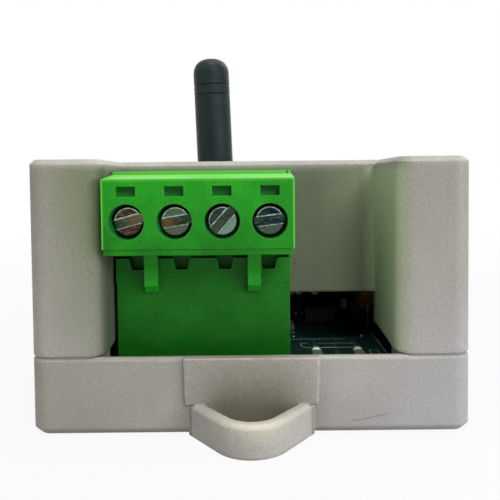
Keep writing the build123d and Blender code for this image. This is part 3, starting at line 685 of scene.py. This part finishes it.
def caps_beside(half_mm, *centres):
    """A mask that is 1 on the end caps beside bodies at these places along X."""
    def mask(skin):
        bodies = 0.0
        for centre in centres:
            bodies = skin.plus(bodies, skin.between(skin.x, centre - half_mm, centre + half_mm))
        return skin.minus(1.0, bodies)
    return mask


def fuse_legs(skin):
    """1 on the fuse's legs, below its dipped body."""
    return skin.between(skin.z, 0.0, BOARD_TOP + 1.9)


def capacitor_finish():
    """Aluminium cans on black feet, with a dark mark at the left of each one's top."""
    skin = Finish("capacitor_can")
    foot = skin.between(skin.z, 0.0, BOARD_TOP + 1.02)
    top = skin.over(skin.z, BOARD_TOP + 7.66)
    left = skin.plus(skin.between(skin.x, -20.0, -16.0), skin.between(skin.x, -1.0, 1.6))
    dark = skin.greatest(foot, skin.times(top, left))
    metal = skin.ramp(skin.noise(0.15, 2.0, (1, 1, 8)), (0.3, CAN_DARK), (0.7, CAN_LIGHT))
    skin.set("Base Color", skin.mix(dark, metal, CAN_FOOT))
    skin.set("Metallic", skin.minus(1.0, dark))
    skin.set("Roughness", skin.wander(skin.noise(0.5, 2.0), 0.28, 0.42))
    skin.bump(skin.noise(0.1, 2.0), 0.006, strength=0.6)
    return skin.material


# Finishes of the CAD nodes

def paint_case():
    paint(case_plastic(), "case_base", "case_cover")
    paint(plated("zinc_steel", ZINC_STEEL), "case_screws")


def paint_terminal():
    paint(terminal_green(), "terminal_plug", "terminal_header")
    for number, tones in enumerate(HEAD_TONES, start=1):
        paint(clamp_steel(number, *tones), f"clamp_screw_{number}")
    nickel = plated("cage_nickel", CAGE_NICKEL)
    paint(nickel, "clamp_cage_1", "clamp_cage_2", "clamp_cage_3", "clamp_cage_4")
    tinned = plated("tinned_copper", TINNED_COPPER)
    paint(tinned, "header_pins", "plug_contacts", "spare_terminal_pads")


def paint_antenna():
    gold = plated("gold_plate", GOLD, stretch=(1, 6, 1), stained=0.25)
    paint(gold, "antenna_jack", "jack_centre_contact", "antenna_nut", "antenna_ferrule")
    nickel = plated("nickel_plate", PIN_NICKEL, stretch=(9, 1, 1), stained=0.9)
    paint(nickel, "antenna_hinge_pin")
    paint(speckled("jack_ptfe", JACK_CORE), "jack_insulator")
    paint(knuckle_plastic(), "antenna_knuckle")
    paint(antenna_rubber(), "antenna_whip")


def paint_chips():
    """The two boards and the chips, whose leads stand out by 1 or 2 mm."""
    paint(board_laminate(), "circuit_board", "radio_board")
    quad_leads = leads_beside("microcontroller", 1.0, 1.0)
    paint(two_tone("quad_chip", CHIP, quad_leads), "microcontroller")
    side_leads = leads_beside("bus_driver_chip", 1.0, 0.0)
    paint(two_tone("small_chip", CHIP, side_leads), "bus_driver_chip")
    end_leads = leads_beside("voltage_regulator", 0.0, 2.0)
    paint(two_tone("regulator", CHIP, end_leads), "voltage_regulator")


def paint_board_parts():
    """The radio's shield, the cans and the small parts."""
    paint(plated("shield_tin", SHIELD_TIN), "radio_shield")
    paint(plated("crystal_can", CRYSTAL_CAN), "crystal")
    paint(speckled("ferrite", FERRITE), "power_inductor")
    paint(capacitor_finish(), "storage_capacitors")
    paint(two_tone("dipped_fuse", FUSE_DIP, fuse_legs, FUSE_LEG), "resettable_fuse")
    paint(two_tone("lamp", LAMP_RESIN, caps_beside(0.6, *STATUS_LAMP_X)), "status_lamps")
    paint(two_tone("resistor", CHIP, caps_beside(0.4, CHIP_RESISTOR_X)), "chip_resistors")
    paint(two_tone("ceramic", CERAMIC, caps_beside(0.4, CHIP_CAPACITOR_X)), "chip_capacitors")
    paint(speckled("diode", DIODE), "surge_diodes")


# Pieces that the CAD nodes carry

def show(thing):
    """Puts a new object into the scene."""
    bpy.context.scene.collection.objects.link(thing)


def add_piece(name, mesh_builder, material, body):
    """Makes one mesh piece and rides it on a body."""
    mesh = bpy.data.meshes.new(name)
    shape = bmesh.new()
    mesh_builder(shape)
    bmesh.ops.recalc_face_normals(shape, faces=shape.faces)
    shape.to_mesh(mesh)
    shape.free()
    mesh.materials.append(material)
    piece = bpy.data.objects.new(name, mesh)
    show(piece)
    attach(piece, body)


def add_ring(shape, places):
    """Vertices at places given in millimetres."""
    return [shape.verts.new([value * MM for value in place]) for place in places]


def join_rings(shape, rings, closed=False):
    """Faces from each ring to the next, with a cap at both ends of an open run."""
    next_rings = rings[1:] + rings[:1] if closed else rings[1:]
    for ring, next_ring in zip(rings, next_rings):
        count = len(ring)
        for i in range(count):
            j = (i + 1) % count
            shape.faces.new((ring[i], ring[j], next_ring[j], next_ring[i]))
    if not closed:
        shape.faces.new(rings[0])
        shape.faces.new(rings[-1][::-1])


def strip(shape, points, width, height, closed=False):
    """A flat raised line on the board through (x, y) points, mitred where it turns."""
    places = [Vector(point) for point in points]
    lead_in = places[-1] if closed else places[0] * 2 - places[1]
    lead_out = places[0] if closed else places[-1] * 2 - places[-2]
    rings = []
    for before, here, after in zip([lead_in, *places], places, [*places[1:], lead_out]):
        run_out = (after - here).normalized()
        along = ((here - before).normalized() + run_out).normalized()
        half = width / 2 / max(0.5, along.dot(run_out))
        across = Vector((-along.y, along.x)) * half
        left = here + across
        right = here - across
        top = BOARD_TOP + height
        corners = [(*left, BOARD_TOP), (*right, BOARD_TOP), (*right, top), (*left, top)]
        rings.append(add_ring(shape, corners))
    join_rings(shape, rings, closed)


# Board print

SILK_HEIGHT = 0.02
TRACK_WIDTH = 0.35
TRACK_HEIGHT = 0.012
VIA_HEIGHT = 0.16
VIA_CROWN = 0.55
VIA_SIDES = 16

# Copper tracks at both ends, as (x, y) points
TRACKS = [
    [(8.1, -22.4), (8.1, -18.4), (6.4, -16.7), (6.4, -12.7)],
    [(13.1, -22.4), (13.1, -18.6), (15.6, -16.1), (15.6, -12.2)],
    [(10.5, -30.0), (10.5, -21.0), (11.0, -20.4), (11.0, -16.0), (10.2, -15.2), (10.2, -9.0)],
    [(2.0, 25.2), (2.0, 22.0), (3.4, 20.6), (3.4, 14.0)],
    [(6.0, 25.2), (6.0, 20.0), (8.2, 17.8), (8.2, 6.0)],
    [(12.0, 30.0), (12.0, 19.0), (14.0, 17.0), (14.0, 13.4)],
    [(-2.4, 21.0), (-0.6, 19.2), (-0.6, 16.0)],
]

# Vias and solder beads, as x, y and radius
VIAS = [
    (5.75, -14.7, 0.40), (5.65, -16.8, 0.32), (14.75, -16.9, 0.30), (10.4, -28.6, 0.28),
    (3.4, 13.4, 0.30), (8.2, 22.4, 0.30), (12.0, 27.0, 0.35), (14.6, 24.5, 0.30),
]


def corner_arc(x, y, radius, start, end):
    """Points round a corner, angles in degrees."""
    steps = 5
    angles = [radians(start + (end - start) * i / steps) for i in range(steps + 1)]
    return [(x + radius * cos(angle), y + radius * sin(angle)) for angle in angles]


def rectangle(x0, x1, y0, y1):
    """The four corners, in order."""
    return [(x0, y0), (x1, y0), (x1, y1), (x0, y1)]


def silk_shapes(shape):
    """White outlines printed on the board at both ends."""
    def line(points, width, closed=False):
        strip(shape, points, width, SILK_HEIGHT, closed)

    left = 6.35
    front = -22.2
    back = -20.3
    radius = 0.9
    hook = corner_arc(left + radius, front + radius, radius, 270, 180)
    line([(12.7, front), *hook, (left, back), (7.2, back)], 0.16)
    line([(8.6, back), (13.6, back)], 0.10)
    line([(4.9, -18.2), (12.2, -18.2)], 0.12)
    line([(16.4, -14.5), (16.4, -27.5)], 0.12)
    line(rectangle(14.5, 15.5, -25.4, -23.4), 0.12, closed=True)
    for x in STATUS_LAMP_X:
        line(rectangle(x - 1.6, x + 1.6, 25, 27), 0.14, closed=True)
    line(rectangle(-12.1, -2.5, 18.8, 28.2), 0.15, closed=True)


def track_shapes(shape):
    """Copper tracks that stand up a little under the mask."""
    for points in TRACKS:
        strip(shape, points, TRACK_WIDTH, TRACK_HEIGHT)


def via_shapes(shape):
    """Small tinned beads with flat crowns."""
    turns = [2 * pi * i / VIA_SIDES for i in range(VIA_SIDES)]
    for x, y, radius in VIAS:
        rings = []
        for size, height in ((radius, BOARD_TOP), (radius * VIA_CROWN, BOARD_TOP + VIA_HEIGHT)):
            places = [(x + size * cos(turn), y + size * sin(turn), height) for turn in turns]
            rings.append(add_ring(shape, places))
        join_rings(shape, rings)


def add_board_print():
    add_piece("board_silk", silk_shapes, speckled("silk_ink", SILK_INK), "case")
    copper = speckled("masked_copper", MASKED_COPPER)
    add_piece("board_tracks", track_shapes, copper, "case")
    solder = nodes["header_pins"].data.materials[0]
    add_piece("board_vias", via_shapes, solder, "case")


# Jack thread, where the barrel shows between the block and the nut

THREAD_START = 28.6
THREAD_END = 33.3
THREAD_PITCH = 0.7056
THREAD_FOOT = 2.97
THREAD_CREST = 3.14
THREAD_FOOT_HALF = 0.30
THREAD_CREST_HALF = 0.04
STEPS_PER_TURN = 28
RUN_OUT_STEPS = 8


def thread_shapes(shape):
    """A helical ridge round the barrel, which runs out at both ends."""
    low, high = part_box("jack_insulator")
    axis_x = (low.x + high.x) / 2 / MM
    axis_z = (low.z + high.z) / 2 / MM
    length = THREAD_END - THREAD_START
    steps = int(length / THREAD_PITCH * STEPS_PER_TURN)
    rings = []
    for i in range(steps + 1):
        angle = 2 * pi * i / STEPS_PER_TURN
        y = THREAD_START + length * i / steps
        share = min(1.0, i / RUN_OUT_STEPS, (steps - i) / RUN_OUT_STEPS)
        crest = THREAD_FOOT + (THREAD_CREST - THREAD_FOOT) * share
        profile = [
            (THREAD_FOOT, -THREAD_FOOT_HALF), (crest, -THREAD_CREST_HALF),
            (crest, THREAD_CREST_HALF), (THREAD_FOOT, THREAD_FOOT_HALF),
        ]
        places = []
        for radius, shift in profile:
            places.append((axis_x + radius * sin(angle), y + shift, axis_z + radius * cos(angle)))
        rings.append(add_ring(shape, places))
    join_rings(shape, rings)


def add_thread():
    material = nodes["antenna_jack"].data.materials[0]
    add_piece("jack_thread", thread_shapes, material, "case")


# Studio. Its sizes and places are in metres.

def add_lamp(name, place, aim_height, size, power, colour):
    """A round lamp that faces a point over the middle of the floor."""
    lamp = bpy.data.lights.new(name, "AREA")
    lamp.shape = "DISK"
    lamp.size = size
    lamp.energy = power
    lamp.color = colour
    holder = bpy.data.objects.new(name, lamp)
    holder.location = place
    holder.rotation_mode = "QUATERNION"
    towards = Vector((0, 0, aim_height)) - Vector(place)
    holder.rotation_quaternion = towards.to_track_quat("-Z", "Y")
    show(holder)


def add_lamps():
    add_lamp("top", (0.05, -0.10, 0.75), 0.015, 0.50, 4.8, (1.0, 0.99, 0.93))
    add_lamp("key", (0.16, -0.42, 0.30), 0.015, 0.22, 1.68, (1.0, 0.99, 0.96))
    add_lamp("right", (0.22, -0.16, 0.04), 0.010, 0.15, 0.45, (0.96, 0.97, 1.0))
    add_lamp("left", (-0.50, -0.20, 0.30), 0.015, 0.45, 0.85, (1.0, 0.99, 0.97))
    add_lamp("back", (0.35, 0.45, 0.45), 0.02, 0.50, 2.0, (1.0, 1.0, 1.0))


def seen_or_mirrored(graph):
    """1 for camera, glossy and transmission rays."""
    rays = graph.add("ShaderNodeLightPath").outputs
    return graph.greatest(
        rays["Is Camera Ray"], rays["Is Glossy Ray"], rays["Is Transmission Ray"]
    )


def finish_tree(graph, share, first, second, output_kind):
    """Sends the first shader to the output, with a share of the second."""
    mix = graph.add("ShaderNodeMixShader")
    for socket, value in zip(mix.inputs, (share, first, second)):
        graph.feed(socket, value)
    graph.feed(graph.add(output_kind).inputs[0], mix.outputs[0])


def add_glow(graph, kind, colour, strength):
    """A shader that gives light of its own."""
    node = graph.add(kind)
    graph.feed(node.inputs["Color"], colour)
    graph.feed(node.inputs["Strength"], strength)
    return node.outputs[0]


def add_world():
    """Even soft light, seen as plain white."""
    world = bpy.data.worlds.new("studio")
    bpy.context.scene.world = world
    world.use_nodes = True
    graph = Graph(world.node_tree)
    graph.tree.nodes.clear()
    light = add_glow(graph, "ShaderNodeBackground", (0.96, 0.98, 1.0), 0.22)
    white = add_glow(graph, "ShaderNodeBackground", WHITE, 1.0)
    finish_tree(graph, seen_or_mirrored(graph), light, white, "ShaderNodeOutputWorld")


def add_floor():
    """A plain pale floor that keeps the object's shadow and fades into the backdrop."""
    half = 6.0
    mesh = bpy.data.meshes.new("floor")
    corners = [(*corner, 0.0) for corner in rectangle(-half, half, -half, half)]
    mesh.from_pydata(corners, [], [(0, 1, 2, 3)])
    material = bpy.data.materials.new("floor")
    material.use_nodes = True
    graph = Graph(material.node_tree)
    graph.tree.nodes.clear()
    matt = graph.add("ShaderNodeBsdfDiffuse")
    graph.feed(matt.inputs["Color"], (0.4, 0.4, 0.4))
    glow = add_glow(graph, "ShaderNodeEmission", WHITE, 1.0)
    share = graph.times(seen_or_mirrored(graph), glow_share(graph))
    finish_tree(graph, share, matt.outputs[0], glow, "ShaderNodeOutputMaterial")
    mesh.materials.append(material)
    floor = bpy.data.objects.new("floor", mesh)
    show(floor)


def glow_share(graph):
    """The floor's own glow: partial under the object, whole further out."""
    place = graph.add("ShaderNodeTexCoord").outputs["Object"]
    distance = graph.add("ShaderNodeVectorMath", operation="LENGTH")
    graph.feed(distance.inputs[0], place)
    return graph.level(distance.outputs["Value"], 0.04, 0.25, 0.90, 1.0)


def add_camera():
    """The photograph's viewpoint: level with the upper case, tipped and rolled a little."""
    data = bpy.data.cameras.new("camera")
    data.sensor_width = SENSOR_MM
    data.lens = SENSOR_MM * FOCAL_PIXELS / IMAGE_SIDE
    data.shift_x = 0.5 - AXIS_PIXEL[0] / IMAGE_SIDE
    data.shift_y = AXIS_PIXEL[1] / IMAGE_SIDE - 0.5
    data.clip_start = 0.005
    data.clip_end = 50.0
    camera = bpy.data.objects.new("camera", data)
    show(camera)
    pitch = radians(CAMERA_PITCH)
    roll = radians(CAMERA_ROLL)
    forward = Vector((0, cos(pitch), -sin(pitch)))
    level_right = Vector((1, 0, 0))
    level_up = level_right.cross(forward)
    right = level_right * cos(roll) - level_up * sin(roll)
    up = level_up * cos(roll) + level_right * sin(roll)
    turn = Matrix((right, up, -forward)).transposed()
    camera.matrix_world = Matrix.Translation(Vector(CAMERA_PLACE) * MM) @ turn.to_4x4()
    bpy.context.scene.camera = camera


add_camera()
paint_case()
paint_terminal()
paint_antenna()
paint_chips()
paint_board_parts()
add_board_print()
add_thread()
add_world()
add_floor()
add_lamps()
bpy.context.scene.view_settings.view_transform = "Standard"
